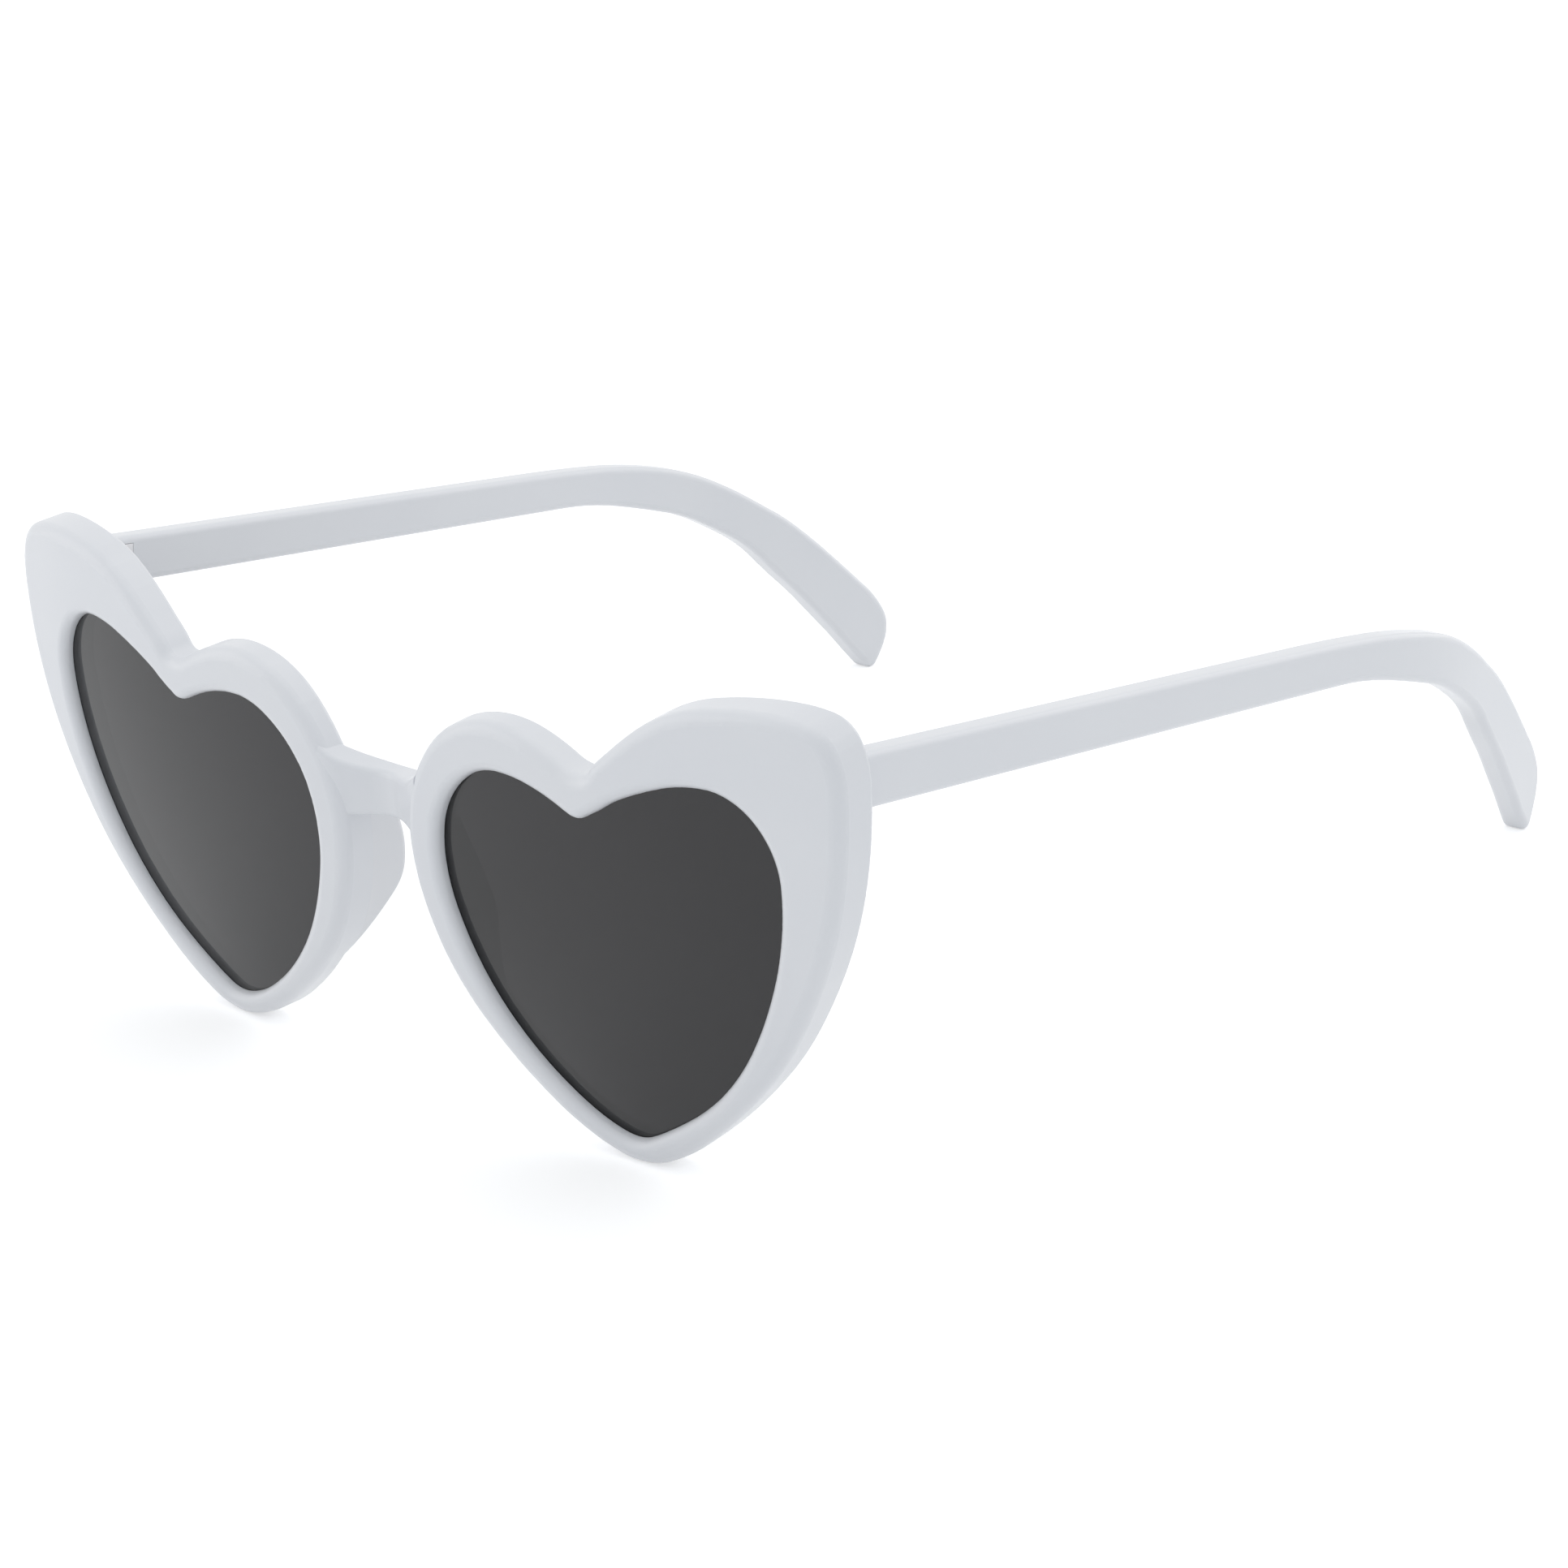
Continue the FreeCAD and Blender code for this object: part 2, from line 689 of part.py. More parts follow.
def leaf(make, name, hinge, way, knuckles, pivot_play):
    """A hinge leaf: a plate with two countersunk holes, and its barrels on the hinge axis."""
    size = make.size
    start = hinge.along(way, hinge.leaf_start, hinge.leaf_end)
    solids = [
        make.box(
            f"{name}_plate",
            at(hinge.inner, start, hinge.low),
            "sizes.leaf_thickness",
            "sizes.leaf_length",
            "sizes.leaf_height",
        )
    ]
    for number in knuckles:
        height = hinge.low + number * hinge.knuckle_step
        solids.append(
            make.box(
                f"{name}_arm_{number}",
                at(hinge.inner, hinge.along(way, 0, hinge.leaf_start), height),
                "sizes.leaf_thickness - sizes.barrel_clearance",
                "sizes.barrel_radius + sizes.barrel_clearance",
                KNUCKLE,
            )
        )
        barrel_place = at(hinge.x, hinge.y, height)
        solids.append(make.rod(f"{name}_barrel_{number}", barrel_place, "sizes.barrel_radius", KNUCKLE))
    blank = make.union(f"{name}_blank", solids)
    bore = make.rod(
        f"{name}_bore",
        at(hinge.x, hinge.y, hinge.low),
        f"sizes.pivot_radius + {pivot_play}",
        "sizes.leaf_height",
    )
    head_space = make.rod(
        f"{name}_head_space",
        at(hinge.x, hinge.y, hinge.low + size.leaf_height - size.pivot_head_height),
        "sizes.pivot_head_radius + sizes.screw_clearance",
        "sizes.pivot_head_height",
    )
    cuts = [bore, head_space]
    for number, height in enumerate(hinge.fixing_heights, start=1):
        place = at(hinge.inner, hinge.y + way * hinge.fixing_distance, height, ACROSS)
        cuts.append(make.rod(f"{name}_hole_{number}", place, FIXING_HOLE, "sizes.fixing_length"))
        sink = make.bound(
            "Part::Cone",
            f"{name}_sink_{number}",
            Radius1="sizes.fixing_head_radius + sizes.screw_clearance",
            Radius2=FIXING_HOLE,
            Height="sizes.fixing_head_height",
        )
        sink.Placement = place
        cuts.append(sink)
    return make.both("Part::Cut", name, blank, make.union(f"{name}_cuts", cuts))


def hinge_screw(make, hinge):
    """The slotted pivot screw of a hinge, its head let into the top barrel."""
    size = make.size
    head_low = hinge.low + size.leaf_height - size.pivot_head_height
    shank = make.rod(
        "pivot_shank",
        at(hinge.x, hinge.y, hinge.low),
        "sizes.pivot_radius",
        "sizes.leaf_height - sizes.pivot_head_height",
    )
    head = make.rod(
        "pivot_head", at(hinge.x, hinge.y, head_low), "sizes.pivot_head_radius", "sizes.pivot_head_height"
    )
    slot = make.box(
        "pivot_slot",
        at(
            hinge.x - size.slot_width / 2,
            hinge.y - size.pivot_head_radius,
            hinge.low + size.leaf_height - size.slot_depth,
        ),
        "sizes.slot_width",
        "2 * sizes.pivot_head_radius",
        "sizes.slot_depth",
    )
    return make.both("Part::Cut", "hinge_screw_left", make.union("pivot_blank", [shank, head]), slot)


def leaf_screws(make, name, hinge, way):
    """The two countersunk screws of a leaf, as one group."""
    size = make.size
    screws = []
    y = hinge.y + way * hinge.fixing_distance
    for number, height in enumerate(hinge.fixing_heights, start=1):
        place = at(hinge.inner, y, height, ACROSS)
        shank = make.rod(f"{name}_shank_{number}", place, "sizes.fixing_radius", "sizes.fixing_length")
        head = make.bound(
            "Part::Cone",
            f"{name}_head_{number}",
            Radius1="sizes.fixing_head_radius",
            Radius2="sizes.fixing_radius",
            Height="sizes.fixing_head_height",
        )
        head.Placement = place
        slot = make.box(
            f"{name}_slot_{number}",
            at(hinge.inner, y - size.slot_width / 2, height - size.fixing_head_radius),
            "sizes.slot_depth",
            "sizes.slot_width",
            "2 * sizes.fixing_head_radius",
        )
        blank = make.union(f"{name}_blank_{number}", [shank, head])
        screws.append(make.both("Part::Cut", f"{name}_screw_{number}", blank, slot))
    group = make.doc.addObject("Part::Compound", name)
    group.Links = screws
    return group


# Standing the part on the ground

def turned(points, angle):
    """Points of the side view, turned nose down by an angle."""
    cosine = math.cos(angle)
    sine = math.sin(angle)
    return [(y * cosine + z * sine, z * cosine - y * sine) for y, z in points]


def resting_place(size, front, arm):
    """The turn about X that sets the rim tips and the temple tips on the ground, centred on the origin."""
    front_points = [(point.y, point.z) for point in front.Shape.tessellate(size.rest_fineness)[0]]
    arm_points = [(point.y, point.z) for point in arm.Shape.tessellate(size.rest_fineness)[0]]
    low = 0.0
    high = math.pi / 4
    for _ in range(50):
        angle = (low + high) / 2
        front_low = min(z for y, z in turned(front_points, angle))
        arm_low = min(z for y, z in turned(arm_points, angle))
        if arm_low > front_low:
            low = angle
        else:
            high = angle
    spread = [y for y, z in turned(front_points + arm_points, angle)]
    shift = Vector(0, -(min(spread) + max(spread)) / 2, -min(front_low, arm_low))
    return Placement(shift, Rotation(Vector(1, 0, 0), -math.degrees(angle)))


def main():
    """Build every piece, stand the part on the ground and write one file per piece."""
    doc = FreeCAD.newDocument("heart_sunglasses")
    size = write_sheet(doc)
    make = Builder(doc, size)
    outline = Outline(size)
    hinge = Hinge(size)
    bar = bridge(make)
    pad = pad_blank(make, outline)
    frame = front_frame(make, outline, hinge, bar, pad)
    arm = temple(make, hinge)
    left = [
        lens_plate(make, "lens_left", outline),
        nose_pad(make, bar, pad),
        arm,
        leaf(make, "front_hinge_left", hinge, -1, (0, 2), "sizes.screw_clearance"),
        leaf(make, "temple_hinge_left", hinge, 1, (1,), "sizes.pivot_fit"),
        hinge_screw(make, hinge),
        leaf_screws(make, "front_leaf_screws_left", hinge, -1),
        leaf_screws(make, "temple_leaf_screws_left", hinge, 1),
    ]
    doc.recompute()

    rest = resting_place(size, frame, arm)
    for part in [frame] + left:
        part.Placement = rest.multiply(part.Placement)
    right = [make.mirrored(part, part.Name.replace("left", "right")) for part in left]
    doc.recompute()

    failed = [item.Name for item in doc.Objects if {"Invalid", "Error"} & set(item.State)]
    if failed:
        raise RuntimeError(f"objects that did not rebuild: {failed}")
    os.makedirs("parts", exist_ok=True)
    for part in [frame] + left + right:
        part.Label = part.Name
        shape = part.Shape
        if shape.isNull() or not shape.isValid():
            raise RuntimeError(f"{part.Label} has no valid shape")
        shape.exportStep(f"parts/{part.Label}.step")
    axis = rest.multVec(Vector(hinge.x, hinge.y, hinge.z))
    print("left hinge axis passes", axis, "along", rest.Rotation.multVec(UPWARD))


main()
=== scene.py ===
"""Looks of the heart shaped sunglasses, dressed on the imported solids.

Lengths are metres in the part's own frame: +X runs to the wearer's left, +Y back along the
temples and +Z up. The solids have the true shapes, so each keeps its mesh and gets its finish here.
"""
from __future__ import annotations

import json
import logging
import math
from dataclasses import dataclass, field
from enum import Enum
from typing import Any

import bpy
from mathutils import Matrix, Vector

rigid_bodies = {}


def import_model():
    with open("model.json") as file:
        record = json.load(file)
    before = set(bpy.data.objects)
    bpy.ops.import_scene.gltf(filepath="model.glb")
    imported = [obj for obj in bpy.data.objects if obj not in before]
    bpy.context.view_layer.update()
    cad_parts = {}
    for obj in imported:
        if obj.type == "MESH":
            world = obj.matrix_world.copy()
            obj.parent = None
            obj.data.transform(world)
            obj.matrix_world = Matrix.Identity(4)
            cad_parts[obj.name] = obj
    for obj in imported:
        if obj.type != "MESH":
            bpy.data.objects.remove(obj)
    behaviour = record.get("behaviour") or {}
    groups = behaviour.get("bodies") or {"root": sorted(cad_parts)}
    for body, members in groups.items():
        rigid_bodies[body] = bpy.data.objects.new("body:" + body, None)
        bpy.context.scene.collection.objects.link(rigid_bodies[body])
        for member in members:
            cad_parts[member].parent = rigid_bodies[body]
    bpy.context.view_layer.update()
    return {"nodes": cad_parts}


log = logging.getLogger("sunglasses")

Colour = tuple[float, float, float]
Point = tuple[float, float, float]


class Side(Enum):
    """The wearer's two sides."""

    LEFT = "left"
    RIGHT = "right"


class Grain(Enum):
    """Ways a fine surface pattern can run, as stretches of the three axes."""

    EVEN = (1.0, 1.0, 1.0)
    ALONG_TEMPLE = (1.0, 0.06, 1.0)
    AROUND_PIN = (1.0, 1.0, 0.08)


class NodeSketch:
    """A node tree with short ways to add and join nodes."""

    MIX_SHARE = 0
    MIX_FIRST = 6
    MIX_SECOND = 7
    MIX_RESULT = 2

    def __init__(self, tree: bpy.types.NodeTree) -> None:
        """Start from an empty tree.

        Args:
            tree: the tree to fill; what it holds is removed.
        """
        self.tree = tree
        tree.nodes.clear()

    def add(self, kind: str, values: dict[str, Any] | None = None, **settings: Any) -> bpy.types.Node:
        """Add a node.

        Args:
            kind: the node's type name.
            values: plain values or source sockets for its inputs, by input name.
            settings: properties of the node itself.

        Returns:
            The new node.
        """
        node = self.tree.nodes.new(kind)
        for name, value in settings.items():
            setattr(node, name, value)
        for name, value in (values or {}).items():
            self.feed(node.inputs[name], value)
        return node

    def feed(self, socket: bpy.types.NodeSocket, value: Any) -> None:
        """Set an input from a plain value, or join a source socket to it.

        Args:
            socket: the input.
            value: a plain value or a source socket.
        """
        if isinstance(value, bpy.types.NodeSocket):
            self.tree.links.new(value, socket)
        else:
            socket.default_value = value

    def maths(self, operation: str, first: Any, second: Any) -> bpy.types.NodeSocket:
        """Join two values by a sum.

        Args:
            operation: the name of the sum, such as ADD.
            first: a value or a socket.
            second: a value or a socket.

        Returns:
            The socket of the result.
        """
        node = self.add("ShaderNodeMath", operation=operation)
        self.feed(node.inputs[0], first)
        self.feed(node.inputs[1], second)
        return node.outputs[0]

    def blend(self, share: Any, first: Colour, second: Colour) -> bpy.types.NodeSocket:
        """Mix two colours by a mask.

        Args:
            share: the mask, 0 for the first colour and 1 for the second.
            first: a colour.
            second: a colour.

        Returns:
            The socket of the mixed colour.
        """
        node = self.add("ShaderNodeMix", data_type="RGBA")
        self.feed(node.inputs[self.MIX_SHARE], share)
        node.inputs[self.MIX_FIRST].default_value = (*first, 1.0)
        node.inputs[self.MIX_SECOND].default_value = (*second, 1.0)
        return node.outputs[self.MIX_RESULT]

    def spread(self, value: bpy.types.NodeSocket, low: float, high: float) -> bpy.types.NodeSocket:
        """Stretch a mask from 0 and 1 to a lowest and a highest value.

        Args:
            value: the mask.
            low: what 0 becomes.
            high: what 1 becomes.

        Returns:
            The socket of the stretched value.
        """
        node = self.add("ShaderNodeMapRange")
        self.feed(node.inputs["Value"], value)
        node.inputs["To Min"].default_value = low
        node.inputs["To Max"].default_value = high
        return node.outputs["Result"]


class SurfaceGroups:
    """The shader node groups that several finishes share."""

    CLOUD_BAND = (0.3, 0.7)
    CLOUD_ROUGHNESS = 0.5
    LINE_BAND = (0.56, 0.72)
    LINE_DETAIL = 3.0
    LINE_DISTORTION = 0.4
    PATCH_BAND = (0.42, 0.66)
    PATCH_DETAIL = 1.0

    def __init__(self) -> None:
        """Build each group once."""
        self.mottle = self._mottle()
        self.rub = self._rub()

    @staticmethod
    def _sockets(
        name: str, inputs: dict[str, float | None], outputs: tuple[str, ...]
    ) -> bpy.types.NodeTree:
        """Make a group with its sockets.

        Args:
            name: the group's name.
            inputs: input names with their first values; None stands for a vector.
            outputs: names of the values that it puts out.

        Returns:
            The group, empty inside.
        """
        group = bpy.data.node_groups.new(name, "ShaderNodeTree")
        for label, value in inputs.items():
            kind = "NodeSocketVector" if value is None else "NodeSocketFloat"
            socket = group.interface.new_socket(label, in_out="INPUT", socket_type=kind)
            if value is not None:
                socket.default_value = value
        for label in outputs:
            group.interface.new_socket(label, in_out="OUTPUT", socket_type="NodeSocketFloat")
        return group

    @staticmethod
    def _banded(
        sketch: NodeSketch, noise: bpy.types.Node, band: tuple[float, float]
    ) -> bpy.types.NodeSocket:
        """Turn a noise into a mask that rises softly across a band.

        Args:
            sketch: the group's tree.
            noise: the node of the noise.
            band: where the mask starts to rise and where it is full.

        Returns:
            The mask's socket.
        """
        start, full = band
        ramp = sketch.add(
            "ShaderNodeMapRange",
            {"Value": noise.outputs[0], "From Min": start, "From Max": full},
            interpolation_type="SMOOTHSTEP",
        )
        return ramp.outputs[0]

    def _mottle(self) -> bpy.types.NodeTree:
        """Soft clouds that vary a moulded colour.

        Returns:
            A group with a mask from 0 to 1.
        """
        group = self._sockets("soft_mottle", {"Vector": None, "Scale": 60.0, "Detail": 2.0}, ("Mask",))
        sketch = NodeSketch(group)
        source = sketch.add("NodeGroupInput")
        noise = sketch.add(
            "ShaderNodeTexNoise",
            {
                "Vector": source.outputs["Vector"],
                "Scale": source.outputs["Scale"],
                "Detail": source.outputs["Detail"],
                "Roughness": self.CLOUD_ROUGHNESS,
            },
        )
        sketch.add("NodeGroupOutput", {"Mask": self._banded(sketch, noise, self.CLOUD_BAND)})
        return group

    def _rub(self) -> bpy.types.NodeTree:
        """Fine rub lines left by handling and polishing, in broken patches.

        Returns:
            A group with a mask of the lines and their height.
        """
        group = self._sockets(
            "rub_lines", {"Vector": None, "Scale": 900.0, "Patches": 90.0}, ("Lines", "Height")
        )
        sketch = NodeSketch(group)
        source = sketch.add("NodeGroupInput")
        lines = sketch.add(
            "ShaderNodeTexNoise",
            {
                "Vector": source.outputs["Vector"],
                "Scale": source.outputs["Scale"],
                "Detail": self.LINE_DETAIL,
                "Distortion": self.LINE_DISTORTION,
            },
        )
        thin = self._banded(sketch, lines, self.LINE_BAND)
        patches = sketch.add(
            "ShaderNodeTexNoise",
            {
                "Vector": source.outputs["Vector"],
                "Scale": source.outputs["Patches"],
                "Detail": self.PATCH_DETAIL,
            },
        )
        where = self._banded(sketch, patches, self.PATCH_BAND)
        marks = sketch.maths("MULTIPLY", thin, where)
        sketch.add("NodeGroupOutput", {"Lines": marks, "Height": lines.outputs[0]})
        return group


@dataclass(frozen=True)
class Finish:
    """What every finish has: its name, its two shades and its range of gloss."""

    name: str
    pale: Colour
    deep: Colour
    smooth: float
    rough: float
    mottle_scale: float
    rub_scale: float
    grain: Grain = Grain.EVEN
    cloud_gloss_share: float = 0.5

    def material(self, groups: SurfaceGroups) -> bpy.types.Material:
        """Make the material.

        Args:
            groups: the shared node groups.

        Returns:
            The finished material.
        """
        material = bpy.data.materials.new(self.name)
        material.use_nodes = True
        sketch = NodeSketch(material.node_tree)
        place = sketch.add("ShaderNodeTexCoord").outputs["Object"]
        run = sketch.add("ShaderNodeMapping", {"Vector": place, "Scale": self.grain.value}).outputs[0]
        clouds = self._placed(sketch, groups.mottle, {"Vector": place, "Scale": self.mottle_scale})
        marks = self._placed(sketch, groups.rub, {"Vector": run, "Scale": self.rub_scale})
        dulled = sketch.maths("MULTIPLY", clouds.outputs["Mask"], self.cloud_gloss_share)
        gloss = sketch.maths("MAXIMUM", dulled, marks.outputs["Lines"])
        shader = sketch.add(
            "ShaderNodeBsdfPrincipled",
            {
                "Base Color": sketch.blend(clouds.outputs["Mask"], self.pale, self.deep),
                "Roughness": sketch.spread(gloss, self.smooth, self.rough),
            },
        )
        self.fit(sketch, shader, place, marks.outputs["Height"])
        output = sketch.add("ShaderNodeOutputMaterial")
        sketch.feed(output.inputs["Surface"], shader.outputs[0])
        return material

    @staticmethod
    def _placed(sketch: NodeSketch, group: bpy.types.NodeTree, values: dict[str, Any]) -> bpy.types.Node:
        """Place a shared group in a material.

        Args:
            sketch: the material's tree.
            group: the shared group.
            values: its inputs.

        Returns:
            The group's node.
        """
        node = sketch.add("ShaderNodeGroup", node_tree=group)
        for name, value in values.items():
            sketch.feed(node.inputs[name], value)
        return node

    @staticmethod
    def bump(
        sketch: NodeSketch,
        shader: bpy.types.Node,
        height: bpy.types.NodeSocket,
        depth: float,
        share: float,
    ) -> None:
        """Raise a fine relief on a shader.

        Args:
            sketch: the material's tree.
            shader: the shader to roughen.
            height: the relief, from 0 to 1.
            depth: its depth in metres.
            share: how much of it shows.
        """
        relief = sketch.add("ShaderNodeBump", {"Height": height, "Distance": depth, "Strength": share})
        sketch.feed(shader.inputs["Normal"], relief.outputs[0])

    def fit(
        self,
        sketch: NodeSketch,
        shader: bpy.types.Node,
        place: bpy.types.NodeSocket,
        height: bpy.types.NodeSocket,
    ) -> None:
        """Add what sets this kind of finish apart; the plain finish has nothing to add.

        Args:
            sketch: the material's tree.
            shader: the shader to fit out.
            place: the part's own coordinates.
            height: the relief of the rub lines.
        """


@dataclass(frozen=True)
class MouldedPlastic(Finish):
    """Glossy injection moulded plastic with the faint ripple that a polished mould leaves."""

    index: float = 1.49
    coat: float = 0.25
    coat_roughness: float = 0.12
    ripple_scale: float = 420.0
    ripple_detail: float = 1.5
    ripple_depth: float = 0.00003
    ripple_share: float = 0.35

    def fit(
        self,
        sketch: NodeSketch,
        shader: bpy.types.Node,
        place: bpy.types.NodeSocket,
        height: bpy.types.NodeSocket,
    ) -> None:
        """Add the clear skin and the mould's ripple.

        Args:
            sketch: the material's tree.
            shader: the shader to fit out.
            place: the part's own coordinates.
            height: the relief of the rub lines; not used, as it is too fine to show on plastic.
        """
        shader.inputs["IOR"].default_value = self.index
        shader.inputs["Coat Weight"].default_value = self.coat
        shader.inputs["Coat Roughness"].default_value = self.coat_roughness
        ripple = sketch.add(
            "ShaderNodeTexNoise",
            {"Vector": place, "Scale": self.ripple_scale, "Detail": self.ripple_detail},
        )
        self.bump(sketch, shader, ripple.outputs[0], self.ripple_depth, self.ripple_share)


@dataclass(frozen=True)
class TintedLens(Finish):
    """Dark see-through lens plastic."""

    index: float = 1.47
    clearness: float = 1.0

    def fit(
        self,
        sketch: NodeSketch,
        shader: bpy.types.Node,
        place: bpy.types.NodeSocket,
        height: bpy.types.NodeSocket,
    ) -> None:
        """Let light through the tint."""
        shader.inputs["Transmission Weight"].default_value = self.clearness
        shader.inputs["IOR"].default_value = self.index


@dataclass(frozen=True)
class SatinSteel(Finish):
    """Small drawn and tumbled steel parts."""

    groove_depth: float = 0.000012
    groove_share: float = 0.5

    def fit(
        self,
        sketch: NodeSketch,
        shader: bpy.types.Node,
        place: bpy.types.NodeSocket,
        height: bpy.types.NodeSocket,
    ) -> None:
        """Make it metal, with the lines of its drawing."""
        shader.inputs["Metallic"].default_value = 1.0
        self.bump(sketch, shader, height, self.groove_depth, self.groove_share)


FRONT_PLASTIC = MouldedPlastic(
    name="soft_white_front",
    pale=(0.84, 0.85, 0.875),
    deep=(0.82, 0.832, 0.862),
    smooth=0.32,
    rough=0.44,
    mottle_scale=45.0,
    rub_scale=1500.0,
)
TEMPLE_PLASTIC = MouldedPlastic(
    name="soft_white_temple",
    pale=(0.84, 0.85, 0.875),
    deep=(0.82, 0.832, 0.862),
    smooth=0.32,
    rough=0.46,
    mottle_scale=38.0,
    rub_scale=1700.0,
    grain=Grain.ALONG_TEMPLE,
)
PAD_PLASTIC = MouldedPlastic(
    name="soft_white_pad",
    pale=(0.845, 0.85, 0.87),
    deep=(0.825, 0.832, 0.856),
    smooth=0.38,
    rough=0.5,
    mottle_scale=80.0,
    rub_scale=1800.0,
    coat=0.1,
    coat_roughness=0.2,
)
LENS_TINT = TintedLens(
    name="smoke_lens",
    pale=(0.0125, 0.0118, 0.013),
    deep=(0.011, 0.0104, 0.0115),
    smooth=0.0,
    rough=0.03,
    mottle_scale=30.0,
    rub_scale=1200.0,
)
HINGE_STEEL = SatinSteel(
    name="hinge_steel",
    pale=(0.66, 0.66, 0.67),
    deep=(0.5, 0.5, 0.52),
    smooth=0.3,
    rough=0.48,
    mottle_scale=500.0,
    rub_scale=2600.0,
    grain=Grain.ALONG_TEMPLE,
)
SCREW_STEEL = SatinSteel(
    name="screw_steel",
    pale=(0.6, 0.6, 0.61),
    deep=(0.42, 0.42, 0.44),
    smooth=0.3,
    rough=0.44,
    mottle_scale=700.0,
    rub_scale=3200.0,
    grain=Grain.AROUND_PIN,
)


class Wardrobe:
    """The finishes, each made into a material once."""

    def __init__(self) -> None:
        """Build the shared groups."""
        self.groups = SurfaceGroups()
        self.made: dict[str, bpy.types.Material] = {}

    def dress(self, node: bpy.types.Object, finish: Finish) -> None:
        """Give a solid its finish.

        Args:
            node: the solid's object.
            finish: the finish that it takes.
        """
        if finish.name not in self.made:
            self.made[finish.name] = finish.material(self.groups)
        for slot in node.material_slots:
            slot.material = self.made[finish.name]
        log.info("%s wears %s", node.name, finish.name)


@dataclass
class Front:
    """The moulded front with its lenses and nose pads."""

    nodes: dict[str, bpy.types.Object]

    def dress(self, wardrobe: Wardrobe) -> None:
        """Dress the front, the lenses and the pads.

        Args:
            wardrobe: the finishes.
        """
        wardrobe.dress(self.nodes["front_frame"], FRONT_PLASTIC)
        for side in Side:
            wardrobe.dress(self.nodes[f"lens_{side.value}"], LENS_TINT)
            wardrobe.dress(self.nodes[f"nose_pad_{side.value}"], PAD_PLASTIC)


@dataclass
class Temple:
    """A side arm with its half of the hinge."""

    nodes: dict[str, bpy.types.Object]
    side: Side

    def dress(self, wardrobe: Wardrobe) -> None:
        """Dress the arm, its hinge leaf and the screws that hold the leaf.

        Args:
            wardrobe: the finishes.
        """
        wardrobe.dress(self.nodes[f"temple_{self.side.value}"], TEMPLE_PLASTIC)
        wardrobe.dress(self.nodes[f"temple_hinge_{self.side.value}"], HINGE_STEEL)
        wardrobe.dress(self.nodes[f"temple_leaf_screws_{self.side.value}"], SCREW_STEEL)


@dataclass
class FrontHinge:
    """The half of a hinge that stays on the front, with the pivot screw."""

    nodes: dict[str, bpy.types.Object]
    side: Side

    def dress(self, wardrobe: Wardrobe) -> None:
        """Dress the leaf, its screws and the pivot screw.

        Args:
            wardrobe: the finishes.
        """
        wardrobe.dress(self.nodes[f"front_hinge_{self.side.value}"], HINGE_STEEL)
        wardrobe.dress(self.nodes[f"front_leaf_screws_{self.side.value}"], SCREW_STEEL)
        wardrobe.dress(self.nodes[f"hinge_screw_{self.side.value}"], SCREW_STEEL)


@dataclass(frozen=True)
class Softbox:
    """One large soft lamp that looks at the part."""

    name: str
    place: Point
    width: float
    height: float
    watts: float
    aim: Point = (0.0, 0.0, 0.03)
    colour: Colour = (1.0, 0.95, 0.91)

    def build(self) -> None:
        """Hang the lamp."""
        way = Vector(self.aim) - Vector(self.place)
        bpy.ops.object.light_add(
            type="AREA", location=self.place, rotation=way.to_track_quat("-Z", "Y").to_euler()
        )
        lamp = bpy.context.object
        lamp.name = self.name
        lamp.data.shape = "RECTANGLE"
        lamp.data.size = self.width
        lamp.data.size_y = self.height
        lamp.data.energy = self.watts
        lamp.data.color = self.colour


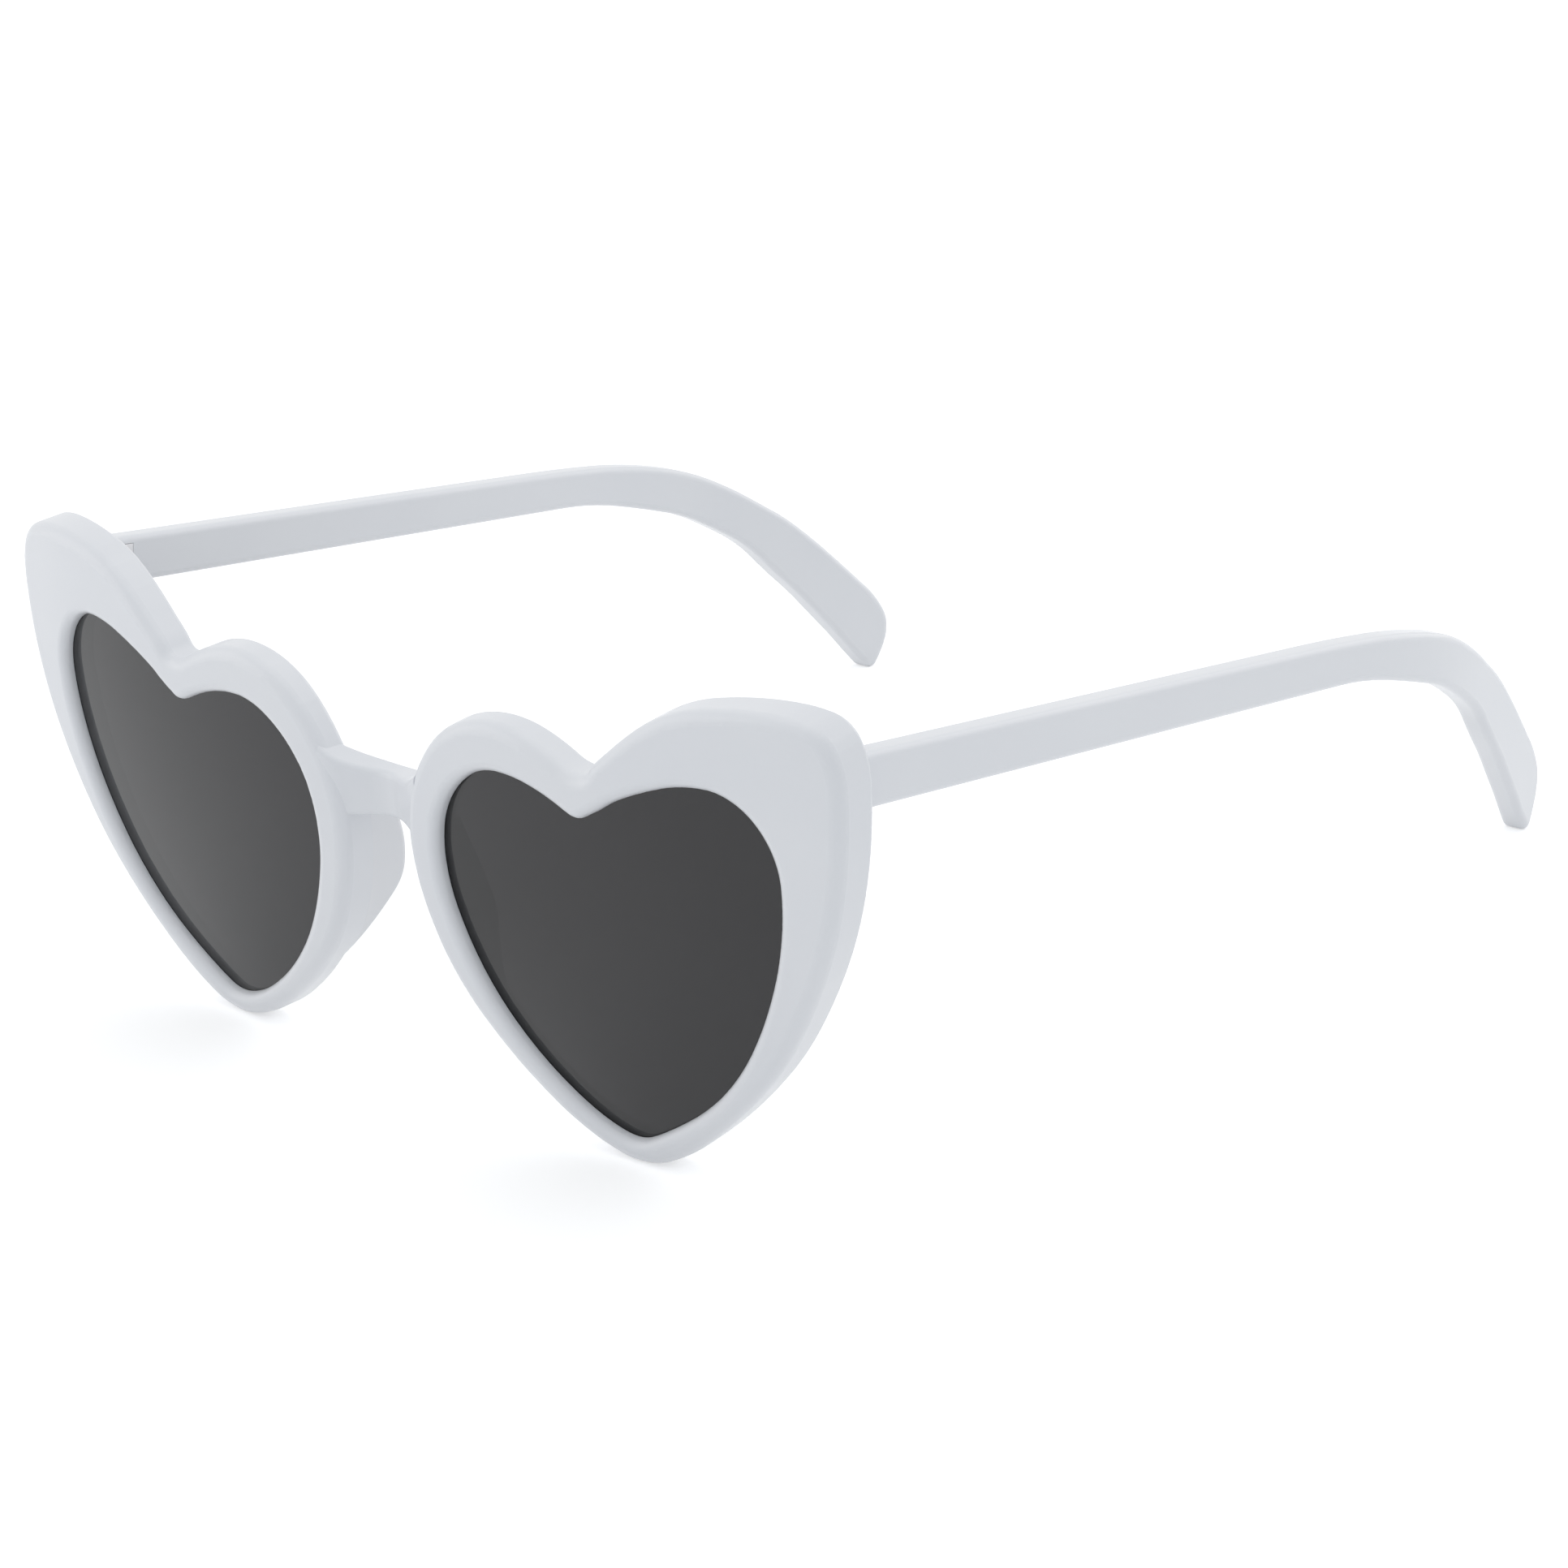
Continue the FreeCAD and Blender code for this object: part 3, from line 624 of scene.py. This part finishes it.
@dataclass
class Studio:
    """A pale floor, soft lamps, white air and the camera."""

    floor_half: float = 3.0
    floor_white: Colour = (0.92, 0.92, 0.92)
    floor_lift: float = 0.42
    air: Colour = (0.96, 1.0, 1.04)
    air_level: float = 0.66
    backdrop: Colour = (1.0, 1.0, 1.0)
    backdrop_level: float = 1.0
    lens_mm: float = 92.07
    sensor_mm: float = 36.0
    near_clip: float = 0.01
    far_clip: float = 50.0
    camera_place: Point = (0.33751, -0.342246, 0.19828)
    camera_turn: Point = (69.2069, 3.6877, 43.7512)
    lamps: tuple[Softbox, ...] = field(
        default_factory=lambda: (
            Softbox("left_softbox", place=(-0.75, -0.6, 0.35), width=0.8, height=0.8, watts=1.3),
            Softbox("back_softbox", place=(0.2, 0.9, 0.45), width=0.8, height=0.8, watts=1.5),
            Softbox("top_softbox", place=(0.0, 0.05, 0.95), width=1.0, height=1.0, watts=1.45),
        )
    )

    def build(self) -> None:
        """Set up the floor, the air, the lamps and the camera."""
        self.lay_floor()
        self.fill_air()
        for lamp in self.lamps:
            lamp.build()
        self.place_camera()

    @staticmethod
    def seen_white(sketch: NodeSketch) -> bpy.types.NodeSocket:
        """A mask of the rays that look at the background, straight, by gloss or through a lens.

        Args:
            sketch: the tree to add it to.

        Returns:
            The mask's socket.
        """
        rays = sketch.add("ShaderNodeLightPath").outputs
        straight = sketch.maths("MAXIMUM", rays["Is Camera Ray"], rays["Is Glossy Ray"])
        return sketch.maths("MAXIMUM", straight, rays["Is Transmission Ray"])

    def lay_floor(self) -> None:
        """Lay the pale floor that keeps the part's shadow."""
        bpy.ops.object.select_all(action="DESELECT")
        bpy.ops.mesh.primitive_plane_add(size=2 * self.floor_half)
        floor = bpy.context.object
        floor.name = "floor"
        material = bpy.data.materials.new("pale_floor")
        material.use_nodes = True
        sketch = NodeSketch(material.node_tree)
        matt = sketch.add("ShaderNodeBsdfDiffuse", {"Color": (*self.floor_white, 1.0)})
        lift = sketch.maths("MULTIPLY", self.seen_white(sketch), self.floor_lift)
        glow = sketch.add("ShaderNodeEmission", {"Strength": lift})
        both = sketch.add("ShaderNodeAddShader")
        sketch.feed(both.inputs[0], matt.outputs[0])
        sketch.feed(both.inputs[1], glow.outputs[0])
        output = sketch.add("ShaderNodeOutputMaterial")
        sketch.feed(output.inputs["Surface"], both.outputs[0])
        floor.data.materials.append(material)

    def fill_air(self) -> None:
        """Fill the air with soft light that shows as white."""
        world = bpy.data.worlds.new("white_air")
        bpy.context.scene.world = world
        world.use_nodes = True
        sketch = NodeSketch(world.node_tree)
        light = sketch.add(
            "ShaderNodeBackground", {"Color": (*self.air, 1.0), "Strength": self.air_level}
        )
        white = sketch.add(
            "ShaderNodeBackground", {"Color": (*self.backdrop, 1.0), "Strength": self.backdrop_level}
        )
        mix = sketch.add("ShaderNodeMixShader", {"Fac": self.seen_white(sketch)})
        sketch.feed(mix.inputs[1], light.outputs[0])
        sketch.feed(mix.inputs[2], white.outputs[0])
        output = sketch.add("ShaderNodeOutputWorld")
        sketch.feed(output.inputs["Surface"], mix.outputs[0])

    def place_camera(self) -> None:
        """Stand the camera where the photograph was taken from."""
        turn = tuple(math.radians(angle) for angle in self.camera_turn)
        bpy.ops.object.camera_add(location=self.camera_place, rotation=turn)
        camera = bpy.context.object
        camera.data.lens = self.lens_mm
        camera.data.sensor_width = self.sensor_mm
        camera.data.clip_start = self.near_clip
        camera.data.clip_end = self.far_clip
        bpy.context.scene.camera = camera


def main() -> None:
    """Load the solids, dress each sub-assembly and set up the studio."""
    logging.basicConfig(level=logging.INFO, format="%(name)s: %(message)s")
    bpy.ops.object.select_all(action="SELECT")
    bpy.ops.object.delete()
    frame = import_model()
    nodes = frame["nodes"]
    wardrobe = Wardrobe()
    Front(nodes).dress(wardrobe)
    for side in Side:
        FrontHinge(nodes, side).dress(wardrobe)
        Temple(nodes, side).dress(wardrobe)
    Studio().build()
    bpy.context.scene.view_settings.view_transform = "Standard"


if __name__ == "__main__":
    main()
